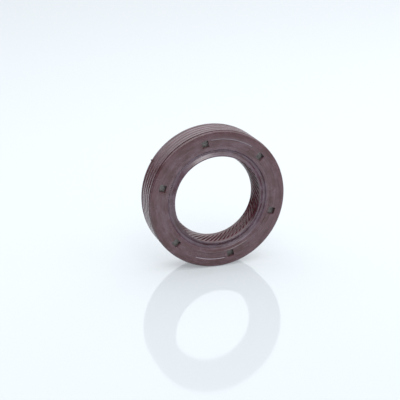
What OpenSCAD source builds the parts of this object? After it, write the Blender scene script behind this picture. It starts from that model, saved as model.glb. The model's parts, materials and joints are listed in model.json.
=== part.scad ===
// Rotary shaft oil seal: moulded rubber over a pressed steel case, with a garter spring.
// The axis is Z. The oil side is down at Z = 0 and the air side faces up.

/* [Fitting sizes] */
// Diameter of the shaft that the seal runs on
shaft_d = 22; // [18:0.5:22]
// Diameter of the housing bore that the seal is pressed into
housing_d = 35; // [35:0.5:45]
// Width from the oil side to the air side
width = 8; // [7:0.5:12]

/* [Ribbed outside] */
// How much larger the free outside is than the housing bore, on the diameter
od_grip = 0.3; // [0.1:0.05:0.5]
// Distance from one rib to the next
rib_pitch = 1.44; // [1.3:0.02:2]
// Height of a rib above the valleys
rib_h = 0.22; // [0.1:0.01:0.3]
// Width of the top of a rib
rib_land = 0.6; // [0.4:0.05:0.7]
// Width of each flank of a rib, along the axis
rib_flank = 0.25; // [0.2:0.05:0.35]
// Rounding along a rib's edges
rib_round = 0.2; // [0.05:0.05:0.3]
// Depth of the first rib's middle below the air side
rib_start = 1.15; // [1.05:0.05:1.5]
// Width of the top of the last rib, which runs into the lead-in
band_l = 0.45; // [0.3:0.05:1.2]
// Length of the lead-in taper at the oil side
lead_l = 0.7; // [0.4:0.05:1]
// Drop of the lead-in taper below the rib tops
lead_h = 0.55; // [0.3:0.05:0.8]

/* [Front edge] */
// Bevel round the air side's outer edge
face_bevel = 0.25; // [0.1:0.05:0.3]
// How far the front edge lies below the rib tops
front_drop = 0.1; // [0.05:0.05:0.15]
// Width of the front edge, along the axis
front_land = 0.1; // [0.05:0.05:0.15]
// Depth of the groove between the front edge and the first rib
front_groove = 0.4; // [0.3:0.05:0.45]

/* [Steel case] */
// Thickness of the steel
case_t = 0.7; // [0.5:0.05:0.8]
// Outer radius of the bend between the leg and the flange
case_bend = 0.9; // [0.85:0.05:1.3]
// Rubber over the leg, up to the rib valleys
cover_od = 0.8; // [0.6:0.05:0.9]
// Rubber over the flange on the air side
cover_face = 0.9; // [0.8:0.05:1.1]
// Rubber below the end of the leg
cover_end = 0.8; // [0.4:0.05:1.1]
// Rubber lining inside the case
lining = 0.5; // [0.3:0.05:0.7]
// Rubber between the air side's groove and the flange's inner edge
flange_cover = 0.5; // [0.4:0.05:0.7]

/* [Main lip] */
// How much smaller the free lip is than the shaft, on the diameter
lip_grip = 0.9; // [0.6:0.1:1.2]
// Depth of the sealing edge below the air side
lip_depth = 4.8; // [4.5:0.05:5.1]
// Width of the sealing edge
lip_land = 0.22; // [0.15:0.01:0.35]
// Angle between the lip's air side and the axis
air_angle = 23; // [18:1:26]
// Angle between the lip's oil side and the axis
oil_angle = 42; // [38:1:47]
// Depth of the lip's nose below the air side
nose_depth = 6.5; // [6.2:0.05:6.7]
// Rubber between the sealing edge's radius and the spring's groove
lip_wall = 0.95; // [0.75:0.05:1.15]
// Reach of the lip's head past the middle of the spring
head_reach = 0.4; // [0.3:0.05:0.5]
// Thickness of the rim that keeps the spring in
keeper_t = 0.25; // [0.2:0.05:0.4]
// Thickness of the flexing wall behind the lip
flex_t = 0.9; // [0.7:0.05:1]
// Depth of the waist between the two lips below the air side
waist_depth = 1.65; // [1.5:0.05:2]

/* [Pumping ribs] */
// Number of slanted ribs round the lip's air side
pump_count = 60; // [30:1:66]
// Height of a rib at its middle
pump_h = 0.13; // [0.08:0.01:0.16]
// Width of a rib's top
pump_w = 0.22; // [0.15:0.01:0.3]
// Lean of a rib from the lip's slope
pump_lean = 53; // [50:1:60]
// Height of the ribs' middle above the sealing edge
pump_mid = 1.4; // [1.3:0.05:1.6]

/* [Dust lip] */
// Gap between the free dust lip and the shaft, on the radius
dust_gap = 0.08; // [0.02:0.01:0.2]
// Thickness of the dust lip at its tip
dust_tip = 0.25; // [0.2:0.05:0.35]
// Angle between the dust lip's outer flank and the axis
dust_angle = 53; // [45:1:56]
// Depth of the groove round the dust lip
groove_depth = 0.6; // [0.5:0.05:0.7]
// Width of the groove's floor
groove_floor = 0.5; // [0.4:0.05:0.6]
// Lean of the groove's outer side
groove_lean = 0.32; // [0.2:0.02:0.4]
// Width of the shallow step round the groove
step_w = 0.75; // [0.5:0.05:0.75]
// Depth of the shallow step below the face
step_h = 0.08; // [0.04:0.01:0.1]

/* [Garter spring] */
// Outside diameter of the coil
spring_d = 1.4; // [1.2:0.05:1.5]
// Diameter of the spring's wire
wire_d = 0.35; // [0.3:0.05:0.45]
// Height of the spring's plane above the sealing edge
spring_shift = 0.35; // [0.2:0.05:0.45]
// Clearance between the spring and its groove
spring_clear = 0.03; // [0.01:0.01:0.05]

/* [Air side] */
// Number of locating notches
notch_count = 6; // [3:1:6]
// Width of a notch round the seal
notch_w = 1.75; // [1.25:0.05:2]
// Length of a notch across the face
notch_l = 1.65; // [1.25:0.05:1.7]
// Distance of a notch's middle inside the case's leg
notch_inset = 1.1; // [1.05:0.05:1.2]
// Angle of the first notch
notch_turn = 43; // [41:1:44]
// Depth of the two plain recessed fields
field_depth = 0.1; // [0.05:0.01:0.15]
// Width of a field across the face
field_w = 1.65; // [1.25:0.05:1.7]
// Angle where the upper field starts
top_field_start = 56; // [50:1:57]
// Angle that the upper field covers
top_field_span = 41; // [20:1:41]
// Angle where the lower field starts
low_field_start = 248; // [230:1:249]
// Angle that the lower field covers
low_field_span = 29; // [15:1:29]

/* [Hidden] */

// Housing side, measured inwards from the outside
od_r = (housing_d + od_grip) / 2;
valley_r = od_r - rib_h;
front_r = od_r - front_drop;
front_z = width - face_bevel - front_land;
case_out_r = valley_r - cover_od;
case_in_r = case_out_r - case_t;
lining_r = case_in_r - lining;
flange_top = width - cover_face;
flange_low = flange_top - case_t;
ceiling_z = flange_low - lining;
rib_base = rib_land / 2 + rib_flank;
band_z = lead_l + band_l;
least_valley = 0.15;
rib_room = width - rib_start - rib_base - least_valley - rib_flank - band_z;
rib_count = floor(rib_room / rib_pitch) + 1;

// Shaft side, measured outwards from the shaft
lip_r = (shaft_d - lip_grip) / 2;
edge_z = width - lip_depth;
nose_z = width - nose_depth;
waist_z = width - waist_depth;
groove_z = width - groove_depth;
nose_in_r = lip_r + (edge_z - lip_land - nose_z) * tan(oil_angle);
dust_r = shaft_d / 2 + dust_gap;
floor_in_r = dust_r + dust_tip + groove_depth * tan(dust_angle);
floor_out_r = floor_in_r + groove_floor;
groove_edge_r = floor_out_r + groove_lean;
step_r = groove_edge_r + step_w;
flange_r = floor_out_r + flange_cover;

// Spring and the groove that holds it
spring_groove_r = spring_d / 2 + spring_clear;
spring_mid_r = lip_r + lip_wall + spring_groove_r;
spring_z = edge_z + spring_shift;
head_r = spring_mid_r + head_reach;
mouth_half = sqrt(pow(spring_groove_r, 2) - pow(head_reach, 2));
shoulder_z = spring_z + mouth_half + keeper_t;
coil_count = floor(2 * PI * spring_mid_r / wire_d);

// Notches and fields share one pitch circle in the middle of the flange
notch_mid_r = case_in_r - notch_inset;
field_mid_r = notch_mid_r - 0.05;

// Radius of the lip's air side at a height, and of the flexing wall's outside
function air_r(z) = lip_r + (z - edge_z) * tan(air_angle);
function flex_r(z) = air_r(z) + flex_t / cos(air_angle);

// The head's shoulder runs in at 45 degrees until it meets the flexing wall
shoulder_run = (head_r - flex_r(shoulder_z)) / (1 + tan(air_angle));

// A profile is a list of corners, each [radius, height, rounding]
function unit(v) = v / norm(v);
function cross_z(u, v) = u[0] * v[1] - u[1] * v[0];
function corner_xy(c) = [c[0], c[1]];

// Points of one rounded corner between its two neighbours, an arc of even steps in degrees
arc_step = 18;
function rounded_corner(before, at, after) =
    let (u = unit(corner_xy(at) - corner_xy(before)),
         v = unit(corner_xy(after) - corner_xy(at)),
         turn = atan2(cross_z(u, v), u * v),
         steps = max(1, ceil(abs(turn) / arc_step)),
         side = sign(turn) * [-u[1], u[0]],
         start = corner_xy(at) - u * at[2] * tan(abs(turn) / 2),
         hub = start + side * at[2])
    at[2] == 0 ? [corner_xy(at)] :
    [for (i = [0 : steps])
        let (a = turn * i / steps)
        hub - at[2] * [side[0] * cos(a) - side[1] * sin(a), side[0] * sin(a) + side[1] * cos(a)]];

function rounded_profile(corners) =
    let (n = len(corners))
    [for (i = [0 : n - 1])
        each rounded_corner(corners[(i + n - 1) % n], corners[i], corners[(i + 1) % n])];

// The front edge ring, and a groove behind it with a sloping front side and a square rear side
front_corners = [
    [front_r - face_bevel, width, 0.08],
    [front_r, width - face_bevel, 0.04],
    [front_r, front_z, 0.04],
    [od_r - front_groove, front_z - front_groove + front_drop, 0.05],
    [od_r - front_groove, width - rib_start + rib_land / 2, 0.05]
];

// The ribs down the outside, from the air side to the oil side. The first one stands square
// behind the front groove and has no valley before it.
rib_corners = [
    for (i = [0 : rib_count - 1])
        let (z = width - rib_start - i * rib_pitch)
        each concat(
            i == 0 ? [[od_r, z + rib_land / 2, 0.08]] :
                [[valley_r, z + rib_base, rib_round], [od_r, z + rib_land / 2, rib_round]],
            [[od_r, z - rib_land / 2, rib_round], [valley_r, z - rib_base, rib_round]]
        )
];

rubber_corners = concat(
    [
        [groove_edge_r, width - step_h, 0.08],
        [step_r, width - step_h, 0.03],
        [step_r + step_h, width, 0.03]
    ],
    front_corners,
    rib_corners,
    [
        [valley_r, band_z + rib_flank, rib_round],
        [od_r, band_z, rib_round],
        [od_r, lead_l, 0.15],
        [od_r - lead_h, 0, 0.1],
        [lining_r, 0, 0.18],
        [lining_r, ceiling_z, 0.5],
        [flex_r(ceiling_z), ceiling_z, 0.4],
        [head_r - shoulder_run, shoulder_z + shoulder_run, 0.25],
        [head_r, shoulder_z, 0.09],
        [head_r, nose_z, 0.35],
        [nose_in_r, nose_z, 0.18],
        [lip_r, edge_z - lip_land, 0],
        [lip_r, edge_z, 0],
        [air_r(waist_z), waist_z, 0.45],
        [dust_r, width, 0.05],
        [dust_r + dust_tip, width, 0.07],
        [floor_in_r, groove_z, 0.2],
        [floor_out_r, groove_z, 0.15]
    ]
);

case_corners = [
    [flange_r, flange_low, 0],
    [case_in_r, flange_low, case_bend - case_t],
    [case_in_r, cover_end, 0],
    [case_out_r, cover_end, 0],
    [case_out_r, flange_top, case_bend],
    [flange_r, flange_top, 0]
];

// The pressed case, which also leaves its own hollow in the rubber
module case_solid() {
    rotate_extrude($fn = 180)
        polygon(rounded_profile(case_corners));
}

// Locating notches go through the rubber down to the steel of the flange
module notches() {
    for (i = [0 : notch_count - 1])
        rotate([0, 0, notch_turn + i * 360 / notch_count])
            translate([notch_mid_r - notch_l / 2, -notch_w / 2, flange_top - case_t / 2])
                cube([notch_l, notch_w, cover_face + case_t]);
}

// Two shallow curved fields in the face, left plain
module fields() {
    for (field = [[top_field_start, top_field_span], [low_field_start, low_field_span]])
        rotate([0, 0, field[0]])
            rotate_extrude(angle = field[1], $fn = 180)
                translate([field_mid_r - field_w / 2, width - field_depth])
                    square([field_w, field_depth + 1]);
}

// Each rib is a straight bar laid against the hollow cone, so its two ends run out into the rubber
pump_z = edge_z + pump_mid;
pump_r = air_r(pump_z);
pump_run = 2 * sqrt(2 * pump_r * pump_h) / sin(pump_lean);
pump_end = 0.3;
pump_sink = 0.22;

module pump_ribs() {
    for (i = [0 : pump_count - 1])
        rotate([0, 0, i * 360 / pump_count])
            translate([pump_r, 0, pump_z])
                rotate([0, air_angle, 0])
                    rotate([pump_lean, 0, 0])
                        linear_extrude(height = pump_run + pump_end, center = true)
                            polygon([
                                [-pump_h, -pump_w / 2],
                                [-pump_h, pump_w / 2],
                                [pump_sink, pump_w / 2 + pump_h + pump_sink],
                                [pump_sink, -pump_w / 2 - pump_h - pump_sink]
                            ]);
}

module rubber_body() {
    color("#6b5257") {
        pump_ribs();
        difference() {
            rotate_extrude($fn = 180)
                difference() {
                    polygon(rounded_profile(rubber_corners));
                    translate([spring_mid_r, spring_z])
                        circle(r = spring_groove_r, $fn = 48);
                }
            case_solid();
            notches();
            fields();
        }
    }
}

module metal_case() {
    color("#7d8580")
        case_solid();
}

// The close-wound spring is a ring whose skin carries one helical ridge for each turn of wire.
// Each turn has a crest and a valley, and they climb by one turn in a full trip round the coil.
coil_sides = 8;
coil_rings = 2 * coil_count;

function coil_point(ring, side) =
    let (along = (ring / 2 + side / coil_sides) * 360 / coil_count,
         around = side * 360 / coil_sides,
         r = ring % 2 == 0 ? spring_d / 2 : spring_d / 2 - wire_d / 2,
         reach = spring_mid_r + r * cos(around))
    [reach * cos(along), reach * sin(along), spring_z + r * sin(around)];

coil_points = [
    for (ring = [0 : coil_rings - 1])
        for (side = [0 : coil_sides - 1])
            coil_point(ring, side)
];

// Past the last side the ridge has climbed one turn, which is two rings
function coil_index(ring, side) =
    let (lap = floor(side / coil_sides))
    ((ring + 2 * lap) % coil_rings) * coil_sides + side % coil_sides;

coil_faces = [
    for (ring = [0 : coil_rings - 1])
        for (side = [0 : coil_sides - 1])
            each [
                [coil_index(ring, side), coil_index(ring, side + 1), coil_index(ring + 1, side)],
                [coil_index(ring + 1, side), coil_index(ring, side + 1), coil_index(ring + 1, side + 1)]
            ]
];

module garter_spring() {
    color("#a7a9ab")
        polyhedron(points = coil_points, faces = coil_faces);
}

rubber_body();
metal_case();
garter_spring();
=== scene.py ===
import json
import math

import bmesh
import bpy
from mathutils import Matrix, Vector


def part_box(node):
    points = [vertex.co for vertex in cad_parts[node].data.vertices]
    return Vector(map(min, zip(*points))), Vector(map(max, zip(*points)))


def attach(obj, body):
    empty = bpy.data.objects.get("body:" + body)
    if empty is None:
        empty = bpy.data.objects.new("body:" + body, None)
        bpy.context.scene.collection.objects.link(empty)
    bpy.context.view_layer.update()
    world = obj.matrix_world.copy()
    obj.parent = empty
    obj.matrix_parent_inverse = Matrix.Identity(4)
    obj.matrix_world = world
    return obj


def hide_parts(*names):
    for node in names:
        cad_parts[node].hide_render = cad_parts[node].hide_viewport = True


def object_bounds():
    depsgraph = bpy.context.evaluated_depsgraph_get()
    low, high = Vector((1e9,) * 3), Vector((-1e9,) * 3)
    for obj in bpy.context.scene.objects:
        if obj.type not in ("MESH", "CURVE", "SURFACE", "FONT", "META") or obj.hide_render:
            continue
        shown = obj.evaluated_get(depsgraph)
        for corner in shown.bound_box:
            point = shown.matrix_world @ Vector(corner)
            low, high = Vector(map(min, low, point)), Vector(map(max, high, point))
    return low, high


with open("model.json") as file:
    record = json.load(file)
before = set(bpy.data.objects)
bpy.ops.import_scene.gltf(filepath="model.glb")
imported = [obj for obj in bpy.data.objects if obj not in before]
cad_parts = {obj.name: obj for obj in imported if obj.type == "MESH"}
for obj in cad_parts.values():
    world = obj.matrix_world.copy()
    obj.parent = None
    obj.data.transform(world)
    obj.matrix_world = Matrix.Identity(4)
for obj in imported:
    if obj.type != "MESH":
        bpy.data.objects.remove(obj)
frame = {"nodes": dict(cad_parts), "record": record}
cad_low, cad_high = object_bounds()

# Moulded rubber body. One compression moulding in brown fluoro rubber makes the ribbed outside,
# the air side, the dust lip, the flexing wall and the main lip, and it holds the steel case and
# the spring. It is drawn in millimetres, with the oil side at height 0, and scaled at the end.
mm = 0.001
radii = {mount["name"]: mount["dims"].get("r_mm") for mount in frame["record"]["mounts"]}
case_low, case_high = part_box("metal_case")
spring_low, spring_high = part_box("garter_spring")
width = round(cad_high.z / mm, 3)

# Outside: a bevelled front edge, a neck behind it, four ribs, and a fifth that runs into the
# taper of the oil side.
od_r = radii["housing_seat"]
valley_r = od_r - 0.22
front_r = od_r - 0.1
front_z = width - 0.35
face_bevel = 0.25
neck_r = od_r - 0.4
neck_z = front_z - 0.3
rib_z = width - 1.15
rib_pitch = 1.44
rib_half = 0.3
rib_foot = 0.55
rib_round = 0.2
last_rib_z = 1.15
taper_l = 0.7
taper_h = 0.55
outside_ribs = [
    (r, rib_z - i * rib_pitch + step, rib_round)
    for i in range(4)
    for r, step in (
        (valley_r, rib_foot), (od_r, rib_half), (od_r, -rib_half), (valley_r, -rib_foot),
    )
]

# Hollow for the steel case, and the radii of the notches down to it and of the two recessed
# fields. Round each notch the faces are cleared and laid anew, out to clear_r.
case_t = 0.7
case_out_r = valley_r - 0.8
case_in_r = case_out_r - case_t
case_end = round(case_low.z / mm, 3)
flange_top = round(case_high.z / mm, 3)
flange_low = flange_top - case_t
lining = 0.5
lining_r = case_in_r - lining
ceiling_z = flange_low - lining
notch_mid_r = case_in_r - 1.1
notch_l = 1.65
notch_w = 1.75
field_in_r = notch_mid_r - 0.05 - notch_l / 2
field_out_r = field_in_r + notch_l
clear_r = 16.1

# Seat of the spring, a round groove in the back of the main lip.
coil_r = round((spring_high.z - spring_low.z) / mm / 2, 3)
spring_z = round((spring_high.z + spring_low.z) / mm / 2, 3)
lip_r = radii["shaft_lip"]
seat_r = coil_r + 0.03
ring_r = lip_r + 0.95 + seat_r
head_r = ring_r + 0.4
mouth = math.acos((head_r - ring_r) / seat_r)
mouth_half = seat_r * math.sin(mouth)
seat_steps = 13
seat_angles = [mouth + (math.tau - 2 * mouth) * i / seat_steps for i in range(1, seat_steps)]
spring_seat = [
    (ring_r + seat_r * math.cos(a), spring_z + seat_r * math.sin(a), 0) for a in seat_angles
]

# Main lip: a narrow sealing edge, the hollow cone on its air side, the nose on its oil side, and
# the flexing wall that carries it.
edge_z = width - 4.8
lip_land = 0.22
air_angle = math.radians(23)
oil_angle = math.radians(42)
nose_z = width - 6.5
nose_r = lip_r + (edge_z - lip_land - nose_z) * math.tan(oil_angle)
waist_z = width - 1.65
wall_t = 0.9


def cone_r(z):
    """The radius of the lip's air side at a height."""
    return lip_r + (z - edge_z) * math.tan(air_angle)


wall_reach = wall_t / math.cos(air_angle)
shoulder_z = spring_z + mouth_half + 0.25
shoulder_run = (head_r - cone_r(shoulder_z) - wall_reach) / (1 + math.tan(air_angle))
row_h = 0.16
lip_cone = [(cone_r(edge_z + row_h * i), edge_z + row_h * i, 0) for i in range(19)]
twist_in_r = 13.1
twist_out_r = 14.7
twist_rows = [(twist_out_r - 0.4 * i, ceiling_z, 0) for i in range(5)]

# Dust lip and the groove round it, with a shallow step outside the groove.
dust_r = 11.08
dust_tip_r = dust_r + 0.25
groove_depth = 0.6
groove_z = width - groove_depth
flank_angle = math.radians(53)
flank_run = groove_depth * math.tan(flank_angle)
groove_in_r = dust_tip_r + flank_run
groove_out_r = groove_in_r + 0.5
groove_edge_r = groove_out_r + 0.32
step_r = groove_edge_r + 0.75
step_h = 0.08
flange_r = groove_out_r + 0.5
flank_rows = [
    (dust_tip_r + share * flank_run, width - share * groove_depth, 0) for share in (0.14, 0.83)
]

# A corner is a radius, a height and a rounding. One that isn't rounded may also lay a row of
# faces where a later step needs it. A rounding is an arc with a segment for each arc_step, in
# radians, of its bend. The section is spun together with the hollow that the case fills.
section = [
    (groove_edge_r, width - step_h, 0.08), (step_r, width - step_h, 0.03),
    (step_r + step_h, width, 0.03), (field_in_r, width, 0), (field_out_r, width, 0),
    (clear_r, width, 0), (front_r - face_bevel, width, 0.08), (front_r, width - face_bevel, 0.04),
    (front_r, front_z, 0.04), (neck_r, neck_z, 0.05), (neck_r, rib_z + rib_half, 0.05),
    (od_r, rib_z + rib_half, 0.08), *outside_ribs[2:],
    (valley_r, last_rib_z + rib_foot - rib_half, rib_round), (od_r, last_rib_z, rib_round),
    (od_r, taper_l, 0.15), (od_r - taper_h, 0, 0.1), (lining_r, 0, 0.18),
    (lining_r, ceiling_z, 0.5), *twist_rows, (cone_r(ceiling_z) + wall_reach, ceiling_z, 0.4),
    (head_r - shoulder_run, shoulder_z + shoulder_run, 0.25), (head_r, shoulder_z, 0.09),
    (head_r, spring_z + mouth_half, 0.05), *spring_seat, (head_r, spring_z - mouth_half, 0.05),
    (head_r, nose_z, 0.35), (nose_r, nose_z, 0.18), (lip_r, edge_z - lip_land, 0), *lip_cone,
    (cone_r(waist_z), waist_z, 0.45), (dust_r, width, 0.05), (dust_tip_r, width, 0.07),
    *flank_rows, (groove_in_r, groove_z, 0.2), (groove_out_r, groove_z, 0.15),
]
case_hollow = [
    (flange_r, flange_low, 0), (case_in_r, flange_low, 0.2), (case_in_r, case_end, 0),
    (case_out_r, case_end, 0), (case_out_r, flange_top, 0.86), (field_in_r, flange_top, 0),
    (flange_r, flange_top, 0),
]
arc_step = 0.45
rubber = bmesh.new()
turned_by = rubber.verts.layers.float.new("turned_by")
raised_by = rubber.verts.layers.float.new("raised_by")
for corners in (section, case_hollow):
    rubber.faces.new([rubber.verts.new((at[0], 0, at[1])) for at in corners])
    for before, at, after in zip(corners[-1:] + corners[:-1], corners, corners[1:] + corners[:1]):
        if at[2] == 0:
            continue
        here = Vector((at[0], 0, at[1]))
        to_here = here - Vector((before[0], 0, before[1]))
        from_here = Vector((after[0], 0, after[1])) - here
        bend = to_here.angle(from_here)
        bmesh.ops.bevel(
            rubber, geom=[v for v in rubber.verts if (v.co - here).length < 1e-4],
            offset=at[2] * math.tan(bend / 2), segments=max(1, round(bend / arc_step)),
            profile=0.5, affect="VERTICES", material=-1,
        )

# The pumping ribs lean across the lip's cone, one every 6 degrees. Each is a straight bar laid
# on the cone, so its height runs out at both ends. The rows of faces turn with it, by 18 degrees
# in all, and the rows on the ceiling of the oil side's channel take that turn up again.
pump_count = 60
pump_h = 0.13
pump_lean = math.radians(53)
pump_z = edge_z + 1.4
pump_r = cone_r(pump_z)
full_turn = 18
for v in rubber.verts:
    if abs(v.co.x - cone_r(v.co.z)) < 0.01 and v.co.z > edge_z - 0.01:
        up_cone = (v.co.z - pump_z) / math.cos(air_angle)
        sideways = -up_cone * math.tan(pump_lean)
        lean = math.atan2(sideways, pump_r + up_cone * math.sin(air_angle))
        v[turned_by] = max(0, min(full_turn, math.degrees(lean) + full_turn / 2))
        v[raised_by] = max(0, pump_h - sideways ** 2 / (2 * pump_r))
    elif v.co.z < ceiling_z + 0.01 and v.co.x < twist_in_r + 0.01:
        v[turned_by] = full_turn
    elif abs(v.co.z - ceiling_z) < 1e-4 and v.co.x < twist_out_r:
        v[turned_by] = full_turn * (twist_out_r - v.co.x) / (twist_out_r - twist_in_r)
bmesh.ops.delete(rubber, geom=list(rubber.faces), context="FACES_ONLY")

# One rib's share of the seal is spun in columns, which rise by their part of the rib's height
# and are turned, and is then repeated round the seal.
rib_shape = (0, 0, 0.5, 1, 1, 1, 0.5, 0, 0)
columns = len(rib_shape) - 1
rib_share = math.tau / pump_count
bmesh.ops.spin(
    rubber, geom=list(rubber.verts) + list(rubber.edges), cent=(0, 0, 0), axis=(0, 0, 1),
    dvec=(0, 0, 0), angle=rib_share, steps=columns, use_merge=False, use_duplicate=False,
)
for v in rubber.verts:
    rise = v[raised_by] * rib_shape[round(math.atan2(v.co.y, v.co.x) / rib_share * columns)]
    v.co.xy *= 1 - rise / v.co.xy.length
    v.co.rotate(Matrix.Rotation(math.radians(v[turned_by]), 3, "Z"))
bmesh.ops.spin(
    rubber, geom=list(rubber.verts) + list(rubber.edges) + list(rubber.faces), cent=(0, 0, 0),
    axis=(0, 0, 1), dvec=(0, 0, 0), angle=math.tau - rib_share, steps=pump_count - 1,
    use_merge=False, use_duplicate=True,
)
bmesh.ops.remove_doubles(rubber, verts=rubber.verts, dist=1e-3)
bmesh.ops.recalc_face_normals(rubber, faces=rubber.faces)

# Two plain recessed fields in the face, one at the top and one at the bottom. The mould has a
# shallow insert there, which leaves sloping sides and a fine radius round each field.
field_depth = 0.1
field_side = 0.05
for start, end in ((56, 97), (248, 277)):
    field = [
        f for f in rubber.faces
        if f.normal.z > 0.99 and f.calc_center_median().z > width - 0.01
        and field_in_r < f.calc_center_median().xy.length < field_out_r
        and start < math.degrees(math.atan2(*f.calc_center_median().yx)) % 360 < end
    ]
    sides = bmesh.ops.inset_region(
        rubber, faces=field, thickness=field_side, depth=-field_depth, use_even_offset=True,
    )["faces"]
    rim = [
        e for e in rubber.edges
        if min(v.co.z for v in e.verts) > width - 0.001
        and sum(f in sides for f in e.link_faces) == 1
    ]
    bmesh.ops.bevel(
        rubber, geom=rim, offset=0.03, segments=1, profile=0.5, affect="EDGES", material=-1,
    )

# Six notches where the mould's pins held the case, straight through the rubber to its flange.
# Each pin is a rounded block that leaves its sides in the rubber, and the face above and the
# hollow below are closed up to it.
notch_turn = 43
notch_count = 6
clear_half = 1.4
pin_segments = 3
pin_corners = 4 * (pin_segments + 1)
for i in range(notch_count):
    turn = math.radians(notch_turn + i * 360 / notch_count)
    out = Vector((math.cos(turn), math.sin(turn), 0))
    along = Vector((-out.y, out.x, 0))
    for level in (width, flange_top):
        cleared = [
            f for f in rubber.faces
            if abs(f.calc_center_median().z - level) < 1e-4
            and abs(f.calc_center_median().dot(along)) < clear_half
            and field_in_r < f.calc_center_median().dot(out) < clear_r
        ]
        bmesh.ops.delete(rubber, geom=cleared, context="FACES")
    foot = rubber.faces.new([
        rubber.verts.new(
            out * (notch_mid_r + r * notch_l / 2) + along * side * notch_w / 2
            + Vector((0, 0, flange_top))
        )
        for r, side in ((-1, -1), (1, -1), (1, 1), (-1, 1))
    ])
    bmesh.ops.bevel(
        rubber, geom=list(foot.verts), offset=0.16, segments=pin_segments, profile=0.5,
        affect="VERTICES", material=-1,
    )
    rounded_foot = [f for f in rubber.faces if len(f.verts) == pin_corners]
    pin = bmesh.ops.extrude_face_region(rubber, geom=rounded_foot)["geom"]
    bmesh.ops.translate(
        rubber, verts=[g for g in pin if isinstance(g, bmesh.types.BMVert)],
        vec=(0, 0, width - flange_top),
    )
    ends = [f for f in rubber.faces if len(f.verts) == pin_corners]
    bmesh.ops.delete(rubber, geom=ends, context="FACES_ONLY")
    for level in (width, flange_top):
        open_edges = [
            e for e in rubber.edges
            if e.is_boundary and max(abs(v.co.z - level) for v in e.verts) < 1e-4
        ]
        bmesh.ops.triangle_fill(rubber, edges=open_edges, use_beauty=True, normal=(0, 0, 1))
bmesh.ops.recalc_face_normals(rubber, faces=rubber.faces)
notch_rims = [
    e for e in rubber.edges
    if min(v.co.z for v in e.verts) > width - 0.001
    and sorted(round(abs(f.normal.z)) for f in e.link_faces) == [0, 1]
]
bmesh.ops.bevel(
    rubber, geom=notch_rims, offset=0.05, segments=2, profile=0.5, affect="EDGES", material=-1,
)

# A small nib of moulding flash stands up on the last rib, where the outside meets the taper of
# the oil side.
nib_turn = math.radians(147)
nib_h = 0.3
nib_out = Vector((math.cos(nib_turn), math.sin(nib_turn), 0))
nib_root = [
    f for f in rubber.faces
    if taper_l + 0.06 < f.calc_center_median().z < last_rib_z - 0.07
    and (f.calc_center_median().xy - nib_out.xy * od_r).length < 0.3
    and f.calc_center_median().xy.length > od_r - 0.05
]
nib = bmesh.ops.extrude_face_region(rubber, geom=nib_root)["geom"]
nib_tip = [g for g in nib if isinstance(g, bmesh.types.BMVert)]
bmesh.ops.translate(rubber, verts=nib_tip, vec=nib_out * nib_h)
nib_middle = sum((v.co for v in nib_tip), Vector()) / len(nib_tip)
bmesh.ops.scale(
    rubber, verts=nib_tip, vec=(0.5, 0.5, 0.5), space=Matrix.Translation(-nib_middle),
)
bmesh.ops.delete(rubber, geom=nib_root, context="FACES")
bmesh.ops.recalc_face_normals(rubber, faces=rubber.faces)
bmesh.ops.scale(rubber, vec=(mm, mm, mm), verts=rubber.verts)
rubber_mesh = bpy.data.meshes.new("moulded_rubber")
rubber.to_mesh(rubber_mesh)
rubber.free()
rubber_mesh.shade_smooth()
rubber_mesh.set_sharp_from_angle(angle=math.radians(35))
moulded_rubber = bpy.data.objects.new("moulded_rubber", rubber_mesh)
bpy.context.scene.collection.objects.link(moulded_rubber)


def linear(code):
    """The linear colour of an sRGB hex code, with full alpha."""
    parts = [int(code[i:i + 2], 16) / 255 for i in (1, 3, 5)]
    return [c / 12.92 if c <= 0.04045 else ((c + 0.055) / 1.055) ** 2.4 for c in parts] + [1]


def add(tree, kind, **given):
    """A new node. A value is given by the name of its input, or by input and its number where
    several share a name, and any other name is a property of the node."""
    node = tree.nodes.new("ShaderNode" + kind)
    for name, value in given.items():
        socket = node.inputs.get(name.replace("_", " "))
        if socket is None and name.startswith("input"):
            socket = node.inputs[int(name[5:])]
        if socket is None:
            setattr(node, name, value)
        elif isinstance(value, bpy.types.NodeSocket):
            tree.links.new(socket, value)
        else:
            socket.default_value = value
    return node


# Brown fluoro rubber, straight from a turned and lightly blasted mould. The turning leaves fine
# rings on every surface and the blasting a fine grain, which spread the highlights to a satin
# sheen. A real mould's turning marks are under 0.1 mm apart and its grain is finer still, and
# both are drawn coarser here, so that they show.
turning_gap = 0.4 * mm
grain_w = 0.1 * mm
rubber_look = bpy.data.materials.new("brown_fluoro_rubber")
rubber_look.use_nodes = True
tree = rubber_look.node_tree
shader = tree.nodes["Principled BSDF"]
place = add(tree, "TexCoord").outputs["Object"]
axes = add(tree, "SeparateXYZ", Vector=place)
flat = add(tree, "CombineXYZ", X=axes.outputs["X"], Y=axes.outputs["Y"])
radius = add(tree, "VectorMath", operation="LENGTH", input0=flat.outputs["Vector"])
rings_place = add(tree, "CombineXYZ", X=radius.outputs["Value"], Z=axes.outputs["Z"])
turning = add(
    tree, "TexNoise", Vector=rings_place.outputs["Vector"], Scale=1 / turning_gap, Detail=4.0,
    Roughness=0.6,
)
grain = add(tree, "TexNoise", Vector=place, Scale=1 / grain_w, Detail=3.0, Roughness=0.6)
turned = add(
    tree, "Bump", Height=turning.outputs["Fac"], Strength=0.5, Distance=0.004 * mm,
)
grained = add(
    tree, "Bump", Height=grain.outputs["Fac"], Strength=0.5, Distance=0.006 * mm,
    Normal=turned.outputs["Normal"],
)
tree.links.new(shader.inputs["Normal"], grained.outputs["Normal"])

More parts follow.
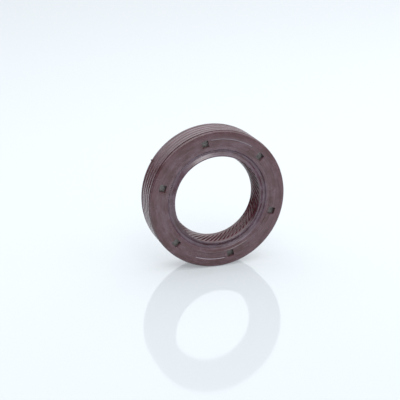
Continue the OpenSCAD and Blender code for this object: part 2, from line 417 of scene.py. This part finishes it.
# A dry grey bloom has come out of the rubber, in clouds and in streaks that follow the turning,
# and the brown shows darker and redder where it is thin. The streaks are a noise read on a small
# circle, so that it changes slowly round the seal and quickly with the radius.
cloud_w = 3 * mm
streak_w = 0.7 * mm
streak_circle = 3.5 * mm
clouds = add(tree, "TexNoise", Vector=place, Scale=1 / cloud_w, Detail=5.0, Roughness=0.65)
outward = add(tree, "VectorMath", operation="NORMALIZE", input0=flat.outputs["Vector"])
upward = add(tree, "CombineXYZ", Z=axes.outputs["Z"])
round_place = add(
    tree, "VectorMath", operation="MULTIPLY_ADD", input0=outward.outputs["Vector"],
    input1=(streak_circle, streak_circle, streak_circle), input2=upward.outputs["Vector"],
)
streaks = add(
    tree, "TexNoise", noise_dimensions="4D", Vector=round_place.outputs["Vector"],
    W=radius.outputs["Value"], Scale=1 / streak_w, Detail=3.0, Roughness=0.6,
)
bloomed = add(
    tree, "Mix", data_type="FLOAT", input0=0.6, input2=clouds.outputs["Fac"],
    input3=streaks.outputs["Fac"],
)
bloom = add(tree, "ValToRGB", Fac=bloomed.outputs[0])
bloom.color_ramp.elements[0].position = 0.4
bloom.color_ramp.elements[0].color = linear("#3b2023")
bloom.color_ramp.elements[1].position = 0.6
bloom.color_ramp.elements[1].color = linear("#503a41")
ring_tint = add(
    tree, "MapRange", Value=turning.outputs["Fac"], From_Min=0.3, From_Max=0.7, To_Min=0.72,
    To_Max=1.28,
)
ringed = add(
    tree, "VectorMath", operation="SCALE", input0=bloom.outputs["Color"],
    Scale=ring_tint.outputs["Result"],
)

# Painted sheen by zones: the dust lip's flank and the groove round it are tinted lighter and
# bluer, a painted sheen that stands in for their reflection of the bright surround. Each zone's
# tint starts and ends at a radius in millimetres.
zones_in_r = 10.5
zones_out_r = 18
flank_sheen_tint = (1.03, 1.22, 1.3, 1)
groove_sheen_tint = (1.22, 1.52, 1.62, 1)
no_tint = (1, 1, 1, 1)
# The face's outer band is darker and redder, out to the bevel, where this is a painted shade that
# tones down the bevel's highlight.
outer_band_shade_tint = (0.93, 0.82, 0.84, 1)
across = add(
    tree, "MapRange", Value=radius.outputs["Value"], From_Min=zones_in_r * mm,
    From_Max=zones_out_r * mm,
)
zones = add(tree, "ValToRGB", Fac=across.outputs["Result"])
for reach, tint in (
    (11.9, flank_sheen_tint), (12.1, groove_sheen_tint), (12.95, groove_sheen_tint), (13.1, no_tint),
    (15.7, no_tint), (16.1, outer_band_shade_tint), (17.32, outer_band_shade_tint), (17.42, no_tint),
):
    share = (reach - zones_in_r) / (zones_out_r - zones_in_r)
    zones.color_ramp.elements.new(share).color = tint
zones.color_ramp.elements.remove(zones.color_ramp.elements[0])
zones.color_ramp.elements.remove(zones.color_ramp.elements[-1])

# No bloom lies inside, on the main lip, the flexing wall and the oil side's channel, where the
# rubber is redder and glossier. It is also darker there, which is painted shade of the bore's
# shadowed inside.
deep = add(
    tree, "MapRange", Value=axes.outputs["Z"], From_Min=6.4 * mm, From_Max=7 * mm, To_Min=1.0,
    To_Max=0.0,
)
inner = add(tree, "Math", operation="LESS_THAN", input0=radius.outputs["Value"], input1=16.9 * mm)
unbloomed_and_shaded = add(
    tree, "Math", operation="MULTIPLY", input0=deep.outputs["Result"],
    input1=inner.outputs["Value"],
)
# The inside's colour is redder as brown without bloom, and darker as painted shade.
zone_tint = add(
    tree, "Mix", data_type="RGBA", Factor=unbloomed_and_shaded.outputs["Value"],
    input6=zones.outputs["Color"], input7=(0.66, 0.36, 0.42, 1),
)
rubber_colour = add(
    tree, "VectorMath", operation="MULTIPLY", input0=ringed.outputs["Vector"],
    input1=zone_tint.outputs[2],
)
satin = add(
    tree, "MapRange", Value=clouds.outputs["Fac"], From_Min=0.3, From_Max=0.7, To_Min=0.2,
    To_Max=0.3,
)
rubber_gloss = add(
    tree, "Mix", data_type="FLOAT", input0=unbloomed_and_shaded.outputs["Value"],
    input2=satin.outputs["Result"], input3=0.1,
)
tree.links.new(shader.inputs["Roughness"], rubber_gloss.outputs[0])

# A thin pale line in the outer corner of the two recessed fields is a painted highlight along the
# recess's edge.
corner_r = field_out_r * mm
corner = add(
    tree, "MapRange", Value=radius.outputs["Value"], From_Min=corner_r - 0.185 * mm,
    From_Max=corner_r - 0.105 * mm,
)
below_face = add(
    tree, "Math", operation="COMPARE", input0=axes.outputs["Z"], input1=(width - 0.06) * mm,
    input2=0.05 * mm,
)
before_wall = add(
    tree, "Math", operation="LESS_THAN", input0=radius.outputs["Value"],
    input1=corner_r + 0.015 * mm,
)
in_recess = add(
    tree, "Math", operation="MULTIPLY", input0=below_face.outputs["Value"],
    input1=before_wall.outputs["Value"],
)
painted_edge_highlight = add(
    tree, "Math", operation="MULTIPLY", input0=corner.outputs["Result"],
    input1=in_recess.outputs["Value"],
)
edge_highlighted_colour = add(
    tree, "Mix", data_type="RGBA", Factor=painted_edge_highlight.outputs["Value"],
    input6=rubber_colour.outputs["Vector"], input7=linear("#7f737b"),
)
tree.links.new(shader.inputs["Base Color"], edge_highlighted_colour.outputs[2])
rubber_mesh.materials.append(rubber_look)
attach(moulded_rubber, "root")
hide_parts("rubber_body")

# Pressed steel case. It is drawn from 0.7 mm sheet into an L section, and it keeps its CAD mesh,
# because the rubber is moulded round it and only the bottoms of the six notches show it.
case = frame["nodes"]["metal_case"]

# Sheet steel under a dull grey bonding coat, which is blotchy and takes most of its shine. The
# coat's grain is drawn coarser than the real one, so that it shows in the notches.
blotch_w = 0.6 * mm
coat_grain_w = 0.08 * mm
case_look = bpy.data.materials.new("coated_sheet_steel")
case_look.use_nodes = True
tree = case_look.node_tree
shader = tree.nodes["Principled BSDF"]
place = add(tree, "TexCoord").outputs["Object"]
coat = add(tree, "TexNoise", Vector=place, Scale=1 / blotch_w, Detail=4.0, Roughness=0.6)
coat_colour = add(tree, "ValToRGB", Fac=coat.outputs["Fac"])
coat_colour.color_ramp.elements[0].position = 0.3
coat_colour.color_ramp.elements[0].color = linear("#514d4c")
coat_colour.color_ramp.elements[1].position = 0.7
coat_colour.color_ramp.elements[1].color = linear("#7b7775")
coat_gloss = add(tree, "MapRange", Value=coat.outputs["Fac"], To_Min=0.38, To_Max=0.6)
coat_grain = add(tree, "TexNoise", Vector=place, Scale=1 / coat_grain_w, Detail=2.0)
coat_bump = add(
    tree, "Bump", Height=coat_grain.outputs["Fac"], Strength=0.4, Distance=0.01 * mm,
)
shader.inputs["Metallic"].default_value = 0.8
tree.links.new(shader.inputs["Base Color"], coat_colour.outputs["Color"])
tree.links.new(shader.inputs["Roughness"], coat_gloss.outputs["Result"])
tree.links.new(shader.inputs["Normal"], coat_bump.outputs["Normal"])
case.data.materials.clear()
case.data.materials.append(case_look)

# Garter spring. It is wound close from thin spring wire, joined into a ring, and snapped into
# the groove behind the lip, which it presses onto the shaft. One turn of wire is made as a screw
# of its round section, a little thinner than the pitch, and the turns follow each other round.
wire_pitch = 0.35
wire_r = 0.165
wire_steps = 14
turns = math.floor(math.tau * ring_r / wire_pitch)
wire = bmesh.new()
wire_start = Vector((ring_r, 0, spring_z + coil_r - wire_r))
bmesh.ops.create_circle(
    wire, cap_ends=False, radius=wire_r, segments=8, matrix=Matrix.Translation(wire_start),
)
bmesh.ops.rotate(
    wire, verts=wire.verts, cent=wire_start, matrix=Matrix.Rotation(math.radians(90), 3, "Y"),
)
bmesh.ops.spin(
    wire, geom=list(wire.verts) + list(wire.edges), cent=(ring_r, 0, spring_z), axis=(0, 1, 0),
    dvec=(0, math.tau * ring_r / turns / wire_steps, 0), angle=math.tau, steps=wire_steps,
    use_merge=False, use_duplicate=False,
)
for v in wire.verts:
    v.co.xy = v.co.x * math.cos(v.co.y / ring_r), v.co.x * math.sin(v.co.y / ring_r)
bmesh.ops.spin(
    wire, geom=list(wire.verts) + list(wire.edges) + list(wire.faces), cent=(0, 0, 0),
    axis=(0, 0, 1), dvec=(0, 0, 0), angle=math.tau * (turns - 1) / turns, steps=turns - 1,
    use_merge=False, use_duplicate=True,
)
bmesh.ops.remove_doubles(wire, verts=wire.verts, dist=0.002)
bmesh.ops.recalc_face_normals(wire, faces=wire.faces)
bmesh.ops.scale(wire, vec=(mm, mm, mm), verts=wire.verts)
wire_mesh = bpy.data.meshes.new("wound_spring")
wire.to_mesh(wire_mesh)
wire.free()
wire_mesh.shade_smooth()
wound_spring = bpy.data.objects.new("wound_spring", wire_mesh)
bpy.context.scene.collection.objects.link(wound_spring)

# Drawn spring steel, bare and slightly oily: grey with a soft shine, and a little darker where
# the drawing soap stayed on.
soap_w = 0.8 * mm
wire_look = bpy.data.materials.new("drawn_spring_wire")
wire_look.use_nodes = True
tree = wire_look.node_tree
shader = tree.nodes["Principled BSDF"]
place = add(tree, "TexCoord").outputs["Object"]
soap = add(tree, "TexNoise", Vector=place, Scale=1 / soap_w, Detail=3.0)
soap_colour = add(tree, "ValToRGB", Fac=soap.outputs["Fac"])
soap_colour.color_ramp.elements[0].position = 0.3
soap_colour.color_ramp.elements[0].color = linear("#77797a")
soap_colour.color_ramp.elements[1].position = 0.65
soap_colour.color_ramp.elements[1].color = linear("#b4b6b8")
wire_gloss = add(tree, "MapRange", Value=soap.outputs["Fac"], To_Min=0.34, To_Max=0.22)
shader.inputs["Metallic"].default_value = 1
tree.links.new(shader.inputs["Base Color"], soap_colour.outputs["Color"])
tree.links.new(shader.inputs["Roughness"], wire_gloss.outputs["Result"])
wire_mesh.materials.append(wire_look)
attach(wound_spring, "root")
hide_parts("garter_spring")

# Floor. The seal stands on its rim, +Y up, on a sheet of glossy white acrylic, which mirrors it
# faintly. To the camera alone the sheet is a darker white with a glow of its own, so that it
# looks as pale as a photographer's table without throwing more light on the seal.
sheet_gap = 0.01
floor_mesh = bpy.data.meshes.new("floor")
floor_build = bmesh.new()
bmesh.ops.create_grid(
    floor_build, x_segments=1, y_segments=1, size=1.5,
    matrix=Matrix.Translation((0, -(od_r + sheet_gap) * mm, 0))
    @ Matrix.Rotation(math.radians(-90), 4, "X"),
)
floor_build.to_mesh(floor_mesh)
floor_build.free()
floor = bpy.data.objects.new("floor", floor_mesh)
bpy.context.scene.collection.objects.link(floor)
floor_look = bpy.data.materials.new("white_acrylic_sheet")
floor_look.use_nodes = True
tree = floor_look.node_tree
shader = tree.nodes["Principled BSDF"]
seen = add(tree, "LightPath").outputs["Is Camera Ray"]
sheet_colour = add(
    tree, "Mix", data_type="RGBA", Factor=seen, input6=linear("#d6dadc"),
    input7=linear("#84888a"),
)
sheet_glow = add(tree, "Math", operation="MULTIPLY", input0=seen, input1=0.345)
shader.inputs["Roughness"].default_value = 0.06
shader.inputs["Specular IOR Level"].default_value = 0.12
shader.inputs["Emission Color"].default_value = linear("#f2f6fb")
tree.links.new(shader.inputs["Base Color"], sheet_colour.outputs[2])
tree.links.new(shader.inputs["Emission Strength"], sheet_glow.outputs["Value"])
floor_mesh.materials.append(floor_look)

# Light. The surround is bright above the seal and a little behind it, grey from the horizon
# down, and darker at the left, and the camera sees it white. A large soft light hangs above and
# in front, a little to the left.
overhead = (0.15, 0.98, -0.1)
world = bpy.data.worlds.new("white_surround")
bpy.context.scene.world = world
world.use_nodes = True
tree = world.node_tree
way = add(tree, "TexCoord").outputs["Generated"]
facing = add(tree, "VectorMath", operation="DOT_PRODUCT", input0=way, input1=overhead)
way_parts = add(tree, "SeparateXYZ", Vector=way)
least = add(
    tree, "MapRange", Value=way_parts.outputs["X"], From_Min=-0.9, From_Max=-0.6, To_Min=0.15,
    To_Max=0.47,
)
fall = add(
    tree, "MapRange", Value=facing.outputs["Value"], From_Min=0.2, From_Max=0.6,
    To_Min=least.outputs["Result"], To_Max=2.6, interpolation_type="SMOOTHSTEP",
)
seen = add(tree, "LightPath").outputs["Is Camera Ray"]
strength = add(
    tree, "Mix", data_type="FLOAT", input0=seen, input2=fall.outputs["Result"], input3=1.0,
)
tree.nodes["Background"].inputs["Color"].default_value = linear("#f3f7fa")
tree.links.new(tree.nodes["Background"].inputs["Strength"], strength.outputs[0])
soft = bpy.data.lights.new("soft_box", "AREA")
soft.shape = "SQUARE"
soft.size = 0.9
soft.energy = 15
soft_box = bpy.data.objects.new("soft_box", soft)
bpy.context.scene.collection.objects.link(soft_box)
light_at = Vector((-0.16, 1.42, 1.28))
soft_box.matrix_world = (
    Matrix.Translation(light_at) @ light_at.to_track_quat("Z", "Y").to_matrix().to_4x4()
)

# Camera, solved from the photograph's ellipses: a long lens, 19 degrees above the floor and 19
# degrees left of the seal's axis. Its distance is from the middle of the face, which lies a
# little to the right of the picture's middle.
distance = 0.2824
aside = 0.004483
azimuth = math.radians(-18.604)
elevation = math.radians(18.685)
lens = bpy.data.cameras.new("camera")
lens.lens = 103.07
lens.sensor_width = 36
lens.clip_start = 0.01
camera = bpy.data.objects.new("camera", lens)
bpy.context.scene.collection.objects.link(camera)
back = Vector((
    math.sin(azimuth) * math.cos(elevation),
    math.sin(elevation),
    math.cos(azimuth) * math.cos(elevation),
))
right = Vector((math.cos(azimuth), 0, -math.sin(azimuth)))
up = back.cross(right)
spot = Vector((0, 0, width * mm)) + back * distance - right * aside
camera.matrix_world = Matrix.Translation(spot) @ Matrix((right, up, back)).transposed().to_4x4()
bpy.context.scene.camera = camera
bpy.context.scene.view_settings.view_transform = "Standard"
